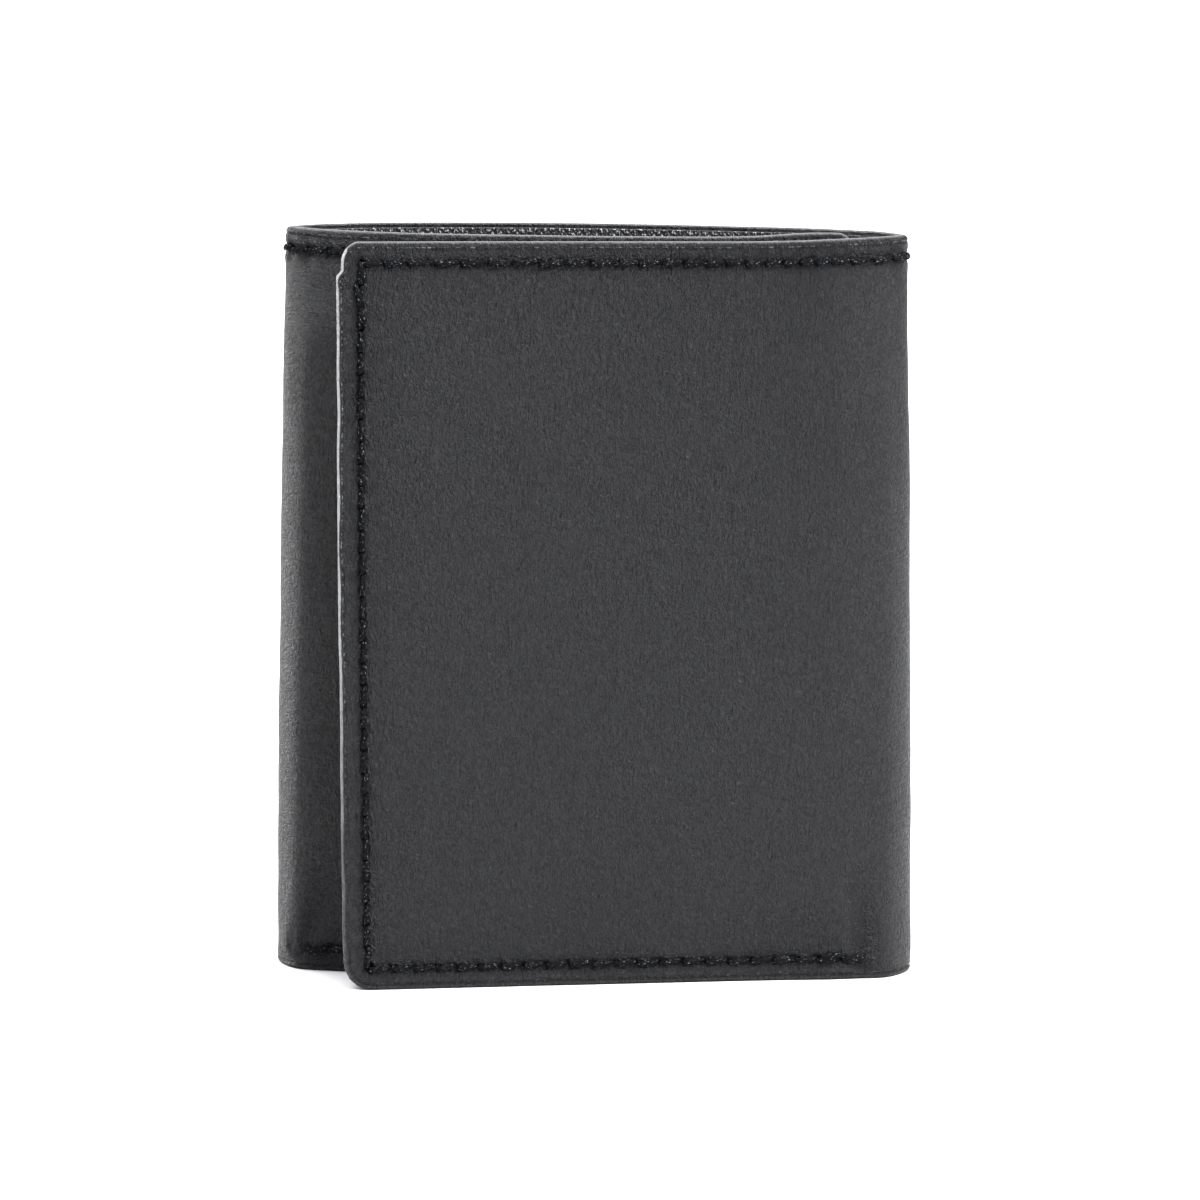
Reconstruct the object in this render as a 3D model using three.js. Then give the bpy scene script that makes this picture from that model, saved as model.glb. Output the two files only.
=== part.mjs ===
// Trifold wallet, closed and standing on its bottom edge.
// Millimetres, +Z up, front at -Y. The origin is the centre of the footprint, on the ground.
//
// The outer leather is one long strip. Folded, it runs from the front flap's free edge round the
// right fold, along the back and round the left fold to the inner flap, which is tucked between
// the front flap and the back. Each panel carries its own lining, wall and pockets. Every fold is
// a flat spine strip that turns about its two outer corners.
import * as THREE from 'three';

// ---- driving dimensions ------------------------------------------------------------------
const WIDTH = 88;            // closed, along X, seams included, as in DEPTH
const DEPTH = 20;            // closed, along Y
const HEIGHT = 105;          // along Z

const SHELL = 1.2;           // turned-edge leather strip
const LINING = 0.3;          // woven lining cloth
const WALL = 0.6;            // thin leather divider under the pockets
const SLOT = 0.5;            // one card slot panel
const FILM = 0.2;            // clear window sheet
const FRAME = 0.6;           // leather frame of the window
const THREAD = 0.35;         // how far a seam stands proud
const THREAD_WIDTH = 0.8;
const CLEAR = 0.1;           // between pieces that lie on each other
const FOLD_CLEAR = 0.3;      // between two strips that meet at a fold

const BILL_GAP = 6.2;        // room for folded notes behind the centre wall
const FREE_CORNER = 4;       // radius of the flaps' free corners
const FREE_EDGE = 80.5;      // free edge of either flap, measured from its fold
const EDGE_MARGIN = 0.6;     // lining and walls stop this far inside the shell's edges
const WALL_TOP = 97;         // top of the dividers and pockets
const SEAM_TOP = 3.2;        // seams, measured from the shell's edges
const SEAM_BOTTOM = 2.6;
const SEAM_FREE = 3.8;
const CARD_DEPTH = 54;       // a card lies sideways in its slot
const SLOT_STEP = 7;         // each mouth is set back from the one under it
const SLOT_COUNT = 3;
const CORNER_STEPS = 6;      // segments in a rounded corner

const SEAM_GAP = CLEAR / 2;                                  // under a seam
const HALF = WIDTH / 2 - THREAD - SEAM_GAP;                  // outer face of the spines
const BACK = DEPTH / 2 - THREAD - SEAM_GAP;                  // outer face of the back shell
const FRONT = -BACK;                                         // outer face of the front flap
const INNER_FLAP_FACE = -4.4;                                // outer face of the inner flap

const LEATHER = { color: 0x35353a, roughness: 0.55, metalness: 0 };
const INNER_LEATHER = { color: 0x2b2b2f, roughness: 0.6, metalness: 0 };
const CLOTH = { color: 0x161618, roughness: 0.85, metalness: 0 };
const THREAD_BLACK = { color: 0x0c0c0d, roughness: 0.7, metalness: 0 };
const CLEAR_PLASTIC = { color: 0xdfe6ea, roughness: 0.15, metalness: 0 };

const wallet = new THREE.Group();

// ---- making sheets -----------------------------------------------------------------------
function add(name, geometry, look) {
  const mesh = new THREE.Mesh(geometry, new THREE.MeshStandardMaterial(look));
  mesh.name = name;
  wallet.add(mesh);
}

// A plan outline (x, y) raised from bottom to top.
function raise(points, bottom, top) {
  const outline = new THREE.Shape(points.map(([x, y]) => new THREE.Vector2(x, y)));
  const geometry = new THREE.ExtrudeGeometry(outline, { depth: top - bottom, bevelEnabled: false });
  geometry.translate(0, 0, bottom);
  return geometry;
}

// An elevation outline in (x, z), given thickness from y0 to y1.
function sheet(outline, y0, y1) {
  const geometry = new THREE.ExtrudeGeometry(outline, {
    depth: y1 - y0, bevelEnabled: false, curveSegments: CORNER_STEPS,
  });
  geometry.rotateX(Math.PI / 2);
  geometry.translate(0, y1, 0);
  return geometry;
}

// A rectangle in (x, z) whose two corners at the free end are rounded.
function flapOutline(foldX, freeX, bottom, top, radius) {
  const turn = Math.sign(freeX - foldX);
  const inner = freeX - turn * radius;
  const start = turn > 0 ? -Math.PI / 2 : 1.5 * Math.PI;
  const middle = turn > 0 ? 0 : Math.PI;
  const end = Math.PI / 2;
  const clockwise = turn < 0;
  const outline = new THREE.Shape();
  outline.moveTo(foldX, bottom);
  outline.lineTo(inner, bottom);
  outline.absarc(inner, bottom + radius, radius, start, middle, clockwise);
  outline.absarc(inner, top - radius, radius, middle, end, clockwise);
  outline.lineTo(foldX, top);
  outline.closePath();
  return outline;
}

function box(x0, x1, y0, y1, z0, z1) {
  const geometry = new THREE.BoxGeometry(x1 - x0, y1 - y0, z1 - z0);
  geometry.translate((x0 + x1) / 2, (y0 + y1) / 2, (z0 + z1) / 2);
  return geometry;
}

// ---- back panel --------------------------------------------------------------------------
const MITRE = FOLD_CLEAR / 2;                 // each strip's end is set back from the mitre line
const backInner = BACK - SHELL;

add('back_shell', raise([
  [-HALF + MITRE, BACK], [-HALF + SHELL + MITRE, backInner],
  [HALF - SHELL - MITRE, backInner], [HALF - MITRE, BACK],
], 0, HEIGHT), LEATHER);

const liningEnd = HALF - SHELL - LINING - 2 * FOLD_CLEAR;
const backLiningFace = backInner - CLEAR - LINING;
add('back_lining', box(-liningEnd, liningEnd, backLiningFace, backInner - CLEAR,
  EDGE_MARGIN, HEIGHT - EDGE_MARGIN), CLOTH);

// The divider is sewn to the back along its foot and stands off it above, for the notes.
const wallEnd = liningEnd - 1.5;
const wallBack = backLiningFace - BILL_GAP;
const footTop = 3.5;
const bendTop = 11;
function dividerProfile() {
  const footBack = backLiningFace - CLEAR;
  return new THREE.Shape([
    [footBack, EDGE_MARGIN], [footBack, footTop], [wallBack, bendTop], [wallBack, WALL_TOP],
    [wallBack - WALL, WALL_TOP], [wallBack - WALL, bendTop - WALL / 2],
    [footBack - WALL, footTop - WALL / 2], [footBack - WALL, EDGE_MARGIN],
  ].map(([y, z]) => new THREE.Vector2(y, z)));
}
const divider = new THREE.ExtrudeGeometry(dividerProfile(), {
  depth: 2 * wallEnd, bevelEnabled: false,
});
divider.applyMatrix4(new THREE.Matrix4().makeBasis(
  new THREE.Vector3(0, 1, 0), new THREE.Vector3(0, 0, 1), new THREE.Vector3(1, 0, 0),
));
divider.translate(-wallEnd, 0, 0);
add('centre_wall', divider, INNER_LEATHER);

// Window pocket: a clear sheet behind a leather frame.
const windowHalf = 32;
const windowBottom = 13;
const filmBack = wallBack - WALL - CLEAR;
const frameBack = filmBack - FILM - CLEAR;
add('window_film', box(-windowHalf + 1, windowHalf - 1, filmBack - FILM, filmBack,
  windowBottom + 1, WALL_TOP - 3), CLEAR_PLASTIC);
const frameBorder = 7;
const frameOutline = flapOutline(windowHalf, -windowHalf, windowBottom, WALL_TOP - 2, 2);
const opening = new THREE.Path();
const openingHalf = windowHalf - frameBorder;
opening.moveTo(-openingHalf, windowBottom + frameBorder);
opening.lineTo(openingHalf, windowBottom + frameBorder);
opening.lineTo(openingHalf, WALL_TOP - 2 - frameBorder);
opening.lineTo(-openingHalf, WALL_TOP - 2 - frameBorder);
opening.closePath();
frameOutline.holes.push(opening);
add('window_frame', sheet(frameOutline, frameBack - FRAME, frameBack), INNER_LEATHER);

// ---- spines ------------------------------------------------------------------------------
// side: -1 left, +1 right. face: outer face of the flap that hangs on this spine.
function spine(name, side, face) {
  const outer = side * HALF;
  const inner = side * (HALF - SHELL);
  add(`${name}_shell`, raise([
    [outer, BACK - MITRE], [inner, BACK - SHELL - MITRE],
    [inner, face + SHELL + MITRE], [outer, face + MITRE],
  ], 0, HEIGHT), LEATHER);
  const liningOuter = side * (HALF - SHELL - CLEAR);
  const liningInner = side * (HALF - SHELL - CLEAR - LINING);
  add(`${name}_lining`, box(Math.min(liningOuter, liningInner), Math.max(liningOuter, liningInner),
    face + SHELL + LINING + 2 * FOLD_CLEAR, BACK - SHELL - LINING - 2 * FOLD_CLEAR,
    EDGE_MARGIN, HEIGHT - EDGE_MARGIN), CLOTH);
}
spine('left_spine', -1, INNER_FLAP_FACE);
spine('right_spine', 1, FRONT);

// ---- flaps -------------------------------------------------------------------------------
// side: the fold it hangs on. face: its outer face. Its inside looks towards +Y.
function flap(name, side, face) {
  const fold = side * (HALF - MITRE);
  const free = side * (HALF - FREE_EDGE);
  const shellInner = face + SHELL;
  const mitreFoot = side * (HALF - SHELL - MITRE);
  const panel = sheet(flapOutline(mitreFoot, free, 0, HEIGHT, FREE_CORNER), face, shellInner);
  add(`${name}_shell`, bevelledFold(panel, mitreFoot, fold, face, shellInner), LEATHER);

  const liningFace = shellInner + CLEAR + LINING;
  const liningFold = side * (HALF - SHELL - LINING - 2 * FOLD_CLEAR);
  const liningFree = free + side * EDGE_MARGIN;
  add(`${name}_lining`, sheet(
    flapOutline(liningFold, liningFree, EDGE_MARGIN, HEIGHT - EDGE_MARGIN, FREE_CORNER - EDGE_MARGIN),
    shellInner + CLEAR, liningFace,
  ), CLOTH);

  const wallFace = liningFace + 2 * CLEAR + WALL;
  add(`${name}_wall`, sheet(
    flapOutline(liningFold - side * 5, liningFree, EDGE_MARGIN, WALL_TOP, FREE_CORNER - EDGE_MARGIN),
    wallFace - WALL, wallFace,
  ), INNER_LEATHER);

  const slotFree = liningFree + side * EDGE_MARGIN;
  for (let i = 0; i < SLOT_COUNT; i += 1) {
    const depth = CARD_DEPTH + (SLOT_COUNT - 1 - i) * SLOT_STEP;
    const y0 = wallFace + CLEAR + i * (SLOT + CLEAR);
    add(`${name}_slot_${i + 1}`, sheet(
      flapOutline(slotFree + side * depth, slotFree, EDGE_MARGIN * 2, WALL_TOP - 1 - i, 2),
      y0, y0 + SLOT,
    ), INNER_LEATHER);
  }
}

// Pulls the outer edge of a panel's square fold end out to the mitre line.
function bevelledFold(geometry, foot, tip, outerFace, innerFace) {
  const position = geometry.attributes.position;
  const middle = (outerFace + innerFace) / 2;
  for (let i = 0; i < position.count; i += 1) {
    const atFold = Math.abs(position.getX(i) - foot) < 1e-6;
    if (atFold && position.getY(i) < middle) position.setX(i, tip);
  }
  return geometry;
}
flap('inner_flap', -1, INNER_FLAP_FACE);
flap('front_flap', 1, FRONT);

// ---- seams -------------------------------------------------------------------------------
const topSeam = HEIGHT - SEAM_TOP;
const foldEnd = 1.2;                          // top seams stop this far from a fold's corner
const footEnd = 6.5;                          // and bottom seams this far
const halfThread = THREAD_WIDTH / 2;

function seamBar(name, x0, x1, y0, y1, z) {
  add(name, box(x0, x1, y0, y1, z - halfThread, z + halfThread), THREAD_BLACK);
}
const backSeam = BACK + SEAM_GAP;
seamBar('back_seam_top', foldEnd - HALF, HALF - foldEnd, backSeam, backSeam + THREAD, topSeam);
seamBar('back_seam_bottom', footEnd - HALF, HALF - footEnd, backSeam, backSeam + THREAD, SEAM_BOTTOM);

const sideSeam = HALF + SEAM_GAP;
seamBar('left_spine_seam', -sideSeam - THREAD, -sideSeam,
  INNER_FLAP_FACE + foldEnd, BACK - foldEnd, topSeam);
seamBar('right_spine_seam', sideSeam, sideSeam + THREAD, FRONT + foldEnd, BACK - foldEnd, topSeam);

// One row along the top, down the free edge and back along the bottom.
function flapSeam(name, side, face) {
  const fold = side * (HALF - foldEnd);
  const foot = side * (HALF - footEnd);
  const free = side * (HALF - FREE_EDGE + SEAM_FREE);
  const outline = new THREE.Shape([
    [fold, topSeam + halfThread], [free - side * halfThread, topSeam + halfThread],
    [free - side * halfThread, SEAM_BOTTOM - halfThread], [foot, SEAM_BOTTOM - halfThread],
    [foot, SEAM_BOTTOM + halfThread], [free + side * halfThread, SEAM_BOTTOM + halfThread],
    [free + side * halfThread, topSeam - halfThread], [fold, topSeam - halfThread],
  ].map(([x, z]) => new THREE.Vector2(x, z)));
  add(name, sheet(outline, face - SEAM_GAP - THREAD, face - SEAM_GAP), THREAD_BLACK);
}
flapSeam('inner_flap_seam', -1, INNER_FLAP_FACE);
flapSeam('front_flap_seam', 1, FRONT);

export default wallet;
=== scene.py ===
"""Trifold wallet, closed and standing on its bottom edge, in charcoal grained leather.

The outer leather is one long strip. It is described once, as a curve seen from above, from the
inner flap's free end round the left fold, along the back, round the right fold and out to the
front flap's free end. Every other piece is laid on that strip: s is the distance along it, z the
height, and depth the distance in from its outer face, all in millimetres. Each piece that
crosses a fold is cut at the middle of a spine or of the back.
"""
import math

import bpy
import numpy as np
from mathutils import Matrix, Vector


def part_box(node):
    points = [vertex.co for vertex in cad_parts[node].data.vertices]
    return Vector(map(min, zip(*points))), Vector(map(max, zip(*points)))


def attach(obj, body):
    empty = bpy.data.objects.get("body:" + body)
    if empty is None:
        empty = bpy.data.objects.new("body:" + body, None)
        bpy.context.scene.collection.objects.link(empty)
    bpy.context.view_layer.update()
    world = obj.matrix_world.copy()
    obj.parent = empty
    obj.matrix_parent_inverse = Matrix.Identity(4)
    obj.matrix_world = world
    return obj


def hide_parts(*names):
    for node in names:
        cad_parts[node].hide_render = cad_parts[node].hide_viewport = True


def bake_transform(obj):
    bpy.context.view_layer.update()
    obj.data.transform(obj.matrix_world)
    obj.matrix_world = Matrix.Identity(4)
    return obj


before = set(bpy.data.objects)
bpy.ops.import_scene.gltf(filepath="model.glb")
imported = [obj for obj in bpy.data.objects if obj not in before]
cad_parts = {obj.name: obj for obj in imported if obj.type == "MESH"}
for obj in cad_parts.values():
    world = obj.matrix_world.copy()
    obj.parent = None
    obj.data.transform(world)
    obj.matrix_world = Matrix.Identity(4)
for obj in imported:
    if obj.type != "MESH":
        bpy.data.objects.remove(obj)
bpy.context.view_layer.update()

MM = 0.001
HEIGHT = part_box("back_shell")[1][2] / MM
SHELL = 1.2                   # thickness of the leather strip
LINING = 0.3
WALL = 0.6
SLOT = 0.5
GAP = 0.1                     # between sheets that lie on each other
WALL_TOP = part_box("centre_wall")[1][2] / MM
STITCH = 3.1                  # from one stitch to the next
THREAD = 0.42                 # half the width of the thread
ROW_TOP = HEIGHT - 2.9        # height of the top seam
ROW_BOTTOM = 3.1
ROW_FREE = 3.4                # the free edges' seams, measured from the edge
CORNER = 4.0                  # radius of the free corners at the foot
TOP_CORNER = 2.8              # and at the top
ROLL = 0.75                   # width of the rolled edge
SEED = 7

# ---- the strip, seen from above --------------------------------------------------------
# Places along it: (x, y) at the top, at half height and at the foot.
STATIONS = [
    ((35.6, 1.5), (36.2, -1.4), (36.2, -1.9)),        # inner flap, free end
    ((30.5, 1.7), (30.0, -2.1), (30.0, -2.8)),
    ((22.0, -1.7), (20.0, -2.7), (20.0, -3.4)),
    ((8.0, -3.0), (5.0, -3.1), (5.0, -3.9)),
    ((-12.0, -3.0), (-14.0, -3.4), (-14.0, -4.2)),
    ((-27.0, -2.2), (-28.0, -3.4), (-28.0, -4.4)),
    ((-35.0, -0.8), (-36.5, -3.0), (-36.8, -4.2)),
    ((-40.0, 0.8), (-41.8, -1.5), (-42.6, -2.9)),
    ((-43.1, 2.9), (-44.5, 2.4), (-45.2, 1.6)),       # left fold
    ((-40.2, 5.0), (-42.0, 6.4), (-42.8, 5.9)),
    ((-34.5, 6.6), (-36.5, 8.3), (-37.0, 8.1)),
    ((-18.0, 8.4), (-20.0, 9.3), (-20.0, 9.0)),
    ((0.0, 8.8), (0.0, 9.4), (0.0, 9.2)),             # middle of the back
    ((18.0, 7.8), (20.0, 9.2), (20.0, 9.0)),
    ((33.0, 6.1), (36.0, 8.3), (36.5, 8.2)),
    ((39.6, 4.5), (41.6, 6.4), (42.2, 6.2)),
    ((43.0, 1.7), (43.9, 2.4), (44.3, 2.4)),          # right fold
    ((40.4, -0.6), (41.6, -1.5), (41.8, -1.7)),
    ((35.0, -2.8), (36.5, -3.8), (36.5, -3.2)),
    ((26.0, -5.5), (24.0, -6.0), (24.0, -5.0)),
    ((8.0, -7.1), (4.0, -8.1), (4.0, -8.2)),
    ((-12.0, -8.5), (-14.0, -10.2), (-14.0, -11.1)),
    ((-27.4, -9.7), (-27.2, -11.5), (-26.6, -13.2)),
    ((-34.8, -10.3), (-34.7, -12.2), (-34.1, -14.4)), # front flap, free end
]
LEFT_FOLD, BACK_MIDDLE, RIGHT_FOLD = 8, 12, 16


def spline(knots, values, where):
    """A smooth curve through values at knots, by cubic Hermite pieces."""
    slopes = np.gradient(values, knots, axis=0)
    k = np.clip(np.searchsorted(knots, where, side="right") - 1, 0, len(knots) - 2)
    width = knots[k + 1] - knots[k]
    t = ((where - knots[k]) / width)[:, None]
    width = width[:, None]
    return (
        values[k] * (2 * t**3 - 3 * t**2 + 1)
        + slopes[k] * width * (t**3 - 2 * t**2 + t)
        + values[k + 1] * (3 * t**2 - 2 * t**3)
        + slopes[k + 1] * width * (t**3 - t**2)
    )


plan = np.array(STATIONS)
steps = np.linalg.norm(np.diff(plan[:, 1], axis=0), axis=1)
rough = np.concatenate([[0.0], np.cumsum(steps)])
fine = np.linspace(0, rough[-1], 4000)
level_curves = [spline(rough, plan[:, level], fine) for level in range(3)]
middle_steps = np.linalg.norm(np.diff(level_curves[1], axis=0), axis=1)
unrolled = np.concatenate([[0.0], np.cumsum(middle_steps)])
LENGTH = unrolled[-1]
S_LEFT, S_BACK, S_RIGHT = (
    float(np.interp(rough[k], fine, unrolled)) for k in (LEFT_FOLD, BACK_MIDDLE, RIGHT_FOLD)
)


def on_strip(s, z, depth):
    """World places, in metres, of points of the strip."""
    s, z, depth = np.broadcast_arrays(*(np.asarray(v, float) for v in (s, z, depth)))

    def at(where):
        xs = []
        for axis in (0, 1):
            top, mid, foot = (np.interp(where, unrolled, c[:, axis]) for c in level_curves)
            t = z / HEIGHT
            xs.append(top * t * (2 * t - 1) + mid * 4 * t * (1 - t) + foot * (1 - t) * (1 - 2 * t))
        return np.stack(xs, -1)

    place = at(np.clip(s, 0, LENGTH))
    span = 0.6
    ahead, behind = at(np.clip(s + span, 0, LENGTH)), at(np.clip(s - span, 0, LENGTH))
    along = ahead - behind
    along /= np.linalg.norm(along, axis=-1, keepdims=True)
    out = np.stack([-along[..., 1], along[..., 0]], -1)
    place = place - out * depth[..., None]
    return np.concatenate([place, z[..., None]], -1) * MM


# ---- small helpers ---------------------------------------------------------------------
def soft_step(x):
    x = np.clip(x, 0, 1)
    return x * x * (3 - 2 * x)


def waves(s, z, scale, count, seed):
    """Smooth, repeatable unevenness of about -1 to 1, with features about scale mm wide."""
    rng = np.random.default_rng(seed)
    total = np.zeros(np.broadcast(s, z).shape)
    for _ in range(count):
        angle, phase = rng.uniform(0, 2 * math.pi, 2)
        wave = 2 * math.pi / (scale * rng.uniform(0.8, 2.2))
        total += np.sin(wave * (s * math.cos(angle) + z * math.sin(angle)) + phase)
    return total / math.sqrt(count)


def merge_values(*parts):
    return np.unique(np.round(np.concatenate(parts), 4))


def make_mesh(name, verts, faces, uvs, face_material=None, sharp_faces=None, edge=None):
    mesh = bpy.data.meshes.new(name)
    mesh.from_pydata(verts.tolist(), [], faces)
    corners = np.zeros(len(mesh.loops), np.int32)
    mesh.loops.foreach_get("vertex_index", corners)
    layer = mesh.uv_layers.new(name="UVMap")
    layer.data.foreach_set("uv", uvs[corners].astype(np.float32).ravel())
    if face_material is not None:
        mesh.polygons.foreach_set("material_index", np.asarray(face_material, np.int32))
    if edge is not None:
        values = mesh.attributes.new("edge", "FLOAT", "POINT")
        values.data.foreach_set("value", np.asarray(edge, np.float32))
    mesh.polygons.foreach_set("use_smooth", np.ones(len(mesh.polygons), bool))
    piece = bpy.data.objects.new(name, mesh)
    bpy.context.scene.collection.objects.link(piece)
    if sharp_faces:
        mark_sharp_round(mesh, sharp_faces)
    mesh.validate()
    mesh.update()
    return piece


def mark_sharp_round(mesh, sharp_faces):
    """The edges round these faces shade as corners, so that two halves meet without a line."""
    wanted = set()
    for f in sharp_faces:
        ring = mesh.polygons[f].vertices[:]
        for a, b in zip(ring, ring[1:] + ring[:1]):
            wanted.add((min(a, b), max(a, b)))
    for edge in mesh.edges:
        a, b = edge.vertices
        if (min(a, b), max(a, b)) in wanted:
            edge.use_edge_sharp = True


# ---- sheets ----------------------------------------------------------------------------
def columns(s0, s1, spacing, free=()):
    """Places along a sheet, closer together at its free ends, where its corners are round."""
    count = max(2, int(round((s1 - s0) / spacing)) + 1)
    parts = [np.linspace(s0, s1, count)]
    near = CORNER * (1 - np.cos(np.linspace(0, math.pi / 2, 14)))
    edge = np.array([0.06, 0.16, 0.3, 0.45, 0.6, 0.75, 0.9, 1.05])
    for end in free:
        inward = 1 if end == s0 else -1
        parts += [end + inward * near, end + inward * edge]
    values = merge_values(*parts)
    keep = np.concatenate([[True], np.diff(values) > 0.03])
    keep[-1] = True
    return values[keep]


def rows(z0, z1, spacing):
    """Heights up a sheet, closer together at both edges."""
    edge = np.array([0, 0.06, 0.16, 0.3, 0.45, 0.6, 0.75, 0.9, 1.05])
    count = max(2, int(round((z1 - z0 - 2.4) / spacing)) + 1)
    return merge_values(z0 + edge, np.linspace(z0 + 1.2, z1 - 1.2, count), z1 - edge)


def corner_cut(to_end, radius):
    """How far a rounded corner draws the edge in, at a distance from the free end."""
    x = np.clip(radius - to_end, 0, radius)
    return radius - np.sqrt(np.clip(radius**2 - x**2, 0, None))


def sheet(name, s0, s1, z0, z1, front, thick, free=(), spacing=0.8, radius=CORNER,
          relief=None, back_relief=None, roll=0.15, rim_material=1, seams=(), profile=None,
          trim=None, top_radius=None):
    """A closed sheet on the strip. front(s, z) is the depth of its outer face.

    free names its ends that are real edges, seams its ends that meet another piece.
    relief(s, z, edge) raises the outer face, edge being the distance from the nearest edge.
    trim(s, z) moves places along the strip, for an edge that isn't cut quite straight.
    """
    across = columns(s0, s1, spacing, free)
    up = rows(z0, z1, spacing)
    S, Z = np.meshgrid(across, up, indexing="ij")
    top_radius = top_radius or radius
    foot_cut, top_cut = np.zeros_like(S), np.zeros_like(S)
    for end in free:
        foot_cut = np.maximum(foot_cut, corner_cut(np.abs(S - end), radius))
        top_cut = np.maximum(top_cut, corner_cut(np.abs(S - end), top_radius))
    near_foot, near_top = Z - z0, z1 - Z
    reach = radius * 2
    Z = np.where(near_foot < reach, z0 + foot_cut + near_foot * (1 - foot_cut / reach), Z)
    Z = np.where(near_top < reach, z1 - top_cut - near_top * (1 - top_cut / reach), Z)
    edge = np.minimum(Z - z0, z1 - Z)
    corner = np.where(2 * Z > z0 + z1, top_radius, radius)
    for end in free:
        to_end = np.abs(S - end)
        flat = np.minimum(to_end, edge)
        in_corner = (to_end < corner) & (edge < corner)
        round_edge = corner - np.hypot(corner - to_end, corner - edge)
        edge = np.where(in_corner, round_edge, flat)
    edge = np.clip(edge, 0, None)

    rounding = np.clip(1 - edge / roll, 0, 1)
    drop = (1 - np.sqrt(np.clip(1 - rounding**2, 0, 1))) * min(roll, thick * 0.42)
    if profile is not None:
        drop = profile(edge)
    outer = front(S, Z) + drop
    inner = front(S, Z) + thick - np.where(edge < roll, drop * 0.7, 0)
    if relief is not None:
        outer = outer - relief(S, Z, edge)
    if back_relief is not None:
        inner = inner + back_relief(S, Z, edge)

    ns, nz = S.shape
    place = S if trim is None else S + trim(S, Z)
    verts = np.concatenate([
        on_strip(place, Z, outer).reshape(-1, 3), on_strip(place, Z, inner).reshape(-1, 3),
    ])
    uvs = np.tile(np.stack([S, Z], -1).reshape(-1, 2) * MM, (2, 1))
    uvs[ns * nz:, 1] += (HEIGHT + 10) * MM
    front_at = np.arange(ns * nz).reshape(ns, nz)
    back_at = front_at + ns * nz
    faces, material, sharp = [], [], []

    def quads(a, b, c, d, index):
        block = np.stack([a.ravel(), b.ravel(), c.ravel(), d.ravel()], -1)
        faces.extend(block.tolist())
        material.extend([index] * len(block))

    f, b = front_at, back_at
    quads(f[:-1, :-1], f[:-1, 1:], f[1:, 1:], f[1:, :-1], 0)
    quads(b[:-1, :-1], b[1:, :-1], b[1:, 1:], b[:-1, 1:], 0)
    quads(f[:-1, 0], f[1:, 0], b[1:, 0], b[:-1, 0], rim_material)
    quads(f[:-1, -1], b[:-1, -1], b[1:, -1], f[1:, -1], rim_material)
    for column, end in ((0, s0), (-1, s1)):
        start = len(faces)
        a, c = (f, b) if column == 0 else (b, f)
        quads(a[column, :-1], c[column, :-1], c[column, 1:], a[column, 1:], rim_material)
        if end in seams:
            sharp += range(start, len(faces))
    return make_mesh(name, verts, faces, uvs, material, sharp, np.tile(edge.ravel(), 2))


# ---- seams on the strip ----------------------------------------------------------------
FREE_INNER, FREE_FRONT = 0.0, LENGTH
FOOT_STOP = 9.0               # bottom seams stop this far from a fold's middle
INNER_FOOT_STOP = 7.0         # but run closer to it on the inner flap
DENT_WIDTH = 0.5


def seam_rows():
    """Every seam of the outer face: its start (s, z) and its end."""
    inner_column, front_column = FREE_INNER + ROW_FREE, FREE_FRONT - ROW_FREE
    return {
        "top": ((inner_column, ROW_TOP), (front_column, ROW_TOP)),
        "inner_foot": ((inner_column, ROW_BOTTOM), (S_LEFT - INNER_FOOT_STOP, ROW_BOTTOM)),
        "back_foot": ((S_LEFT + FOOT_STOP, ROW_BOTTOM), (S_RIGHT - FOOT_STOP, ROW_BOTTOM)),
        "front_foot": ((S_RIGHT + FOOT_STOP, ROW_BOTTOM), (front_column, ROW_BOTTOM)),
        "inner_free": ((inner_column, ROW_TOP), (inner_column, ROW_BOTTOM)),
        "front_free": ((front_column, ROW_TOP), (front_column, ROW_BOTTOM)),
    }


ROWS = seam_rows()


def along_row(row, s, z):
    """Distance along a seam and off it, for every point."""
    (s0, z0), (s1, z1) = row
    length = math.hypot(s1 - s0, z1 - z0)
    us, uz = (s1 - s0) / length, (z1 - z0) / length
    a = (s - s0) * us + (z - z0) * uz
    b = -(s - s0) * uz + (z - z0) * us
    return a, b, length


def seam_relief(s, z):
    """The leather drawn in along each seam, most at the holes, and puffed beside it."""
    total = np.zeros_like(s)
    for row in ROWS.values():
        a, b, length = along_row(row, s, z)
        inside = soft_step((a + 1.2) / 1.4) * soft_step((length + 1.2 - a) / 1.4)
        count = max(1, round(length / STITCH))
        phase = a * count / length
        to_hole = np.abs(phase - np.round(phase)) * STITCH
        groove = 0.24 * np.exp(-((b / DENT_WIDTH) ** 2))
        hole = 0.5 * np.exp(-((b / 0.42) ** 2) - (to_hole / 0.5) ** 2)
        draw = 0.1 * np.exp(-((b / 1.7) ** 2) - (to_hole / 0.8) ** 2)
        puff = 0.09 * np.exp(-(((np.abs(b) - 1.4) / 0.75) ** 2))
        puff = puff * (1 + 0.7 * np.cos(2 * math.pi * (phase - 0.5)))
        total += inside * (puff - groove - hole - draw)
    return total


def crease(s, z, start, end, width, depth, skew=0.0):
    """A soft groove from start to end that fades out, with a low ridge beside it."""
    a, b, length = along_row((start, end), s, z)
    t = np.clip(a / length, 0, 1)
    spread = width * (0.6 + 0.9 * t)
    fade = soft_step((a + width) / width) * (1 - soft_step(t)) ** 0.8
    groove = np.exp(-((b / spread) ** 2))
    ridge = 0.55 * np.exp(-(((b - skew) / (spread * 1.5)) ** 2))
    return fade * depth * (ridge - groove)


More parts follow.
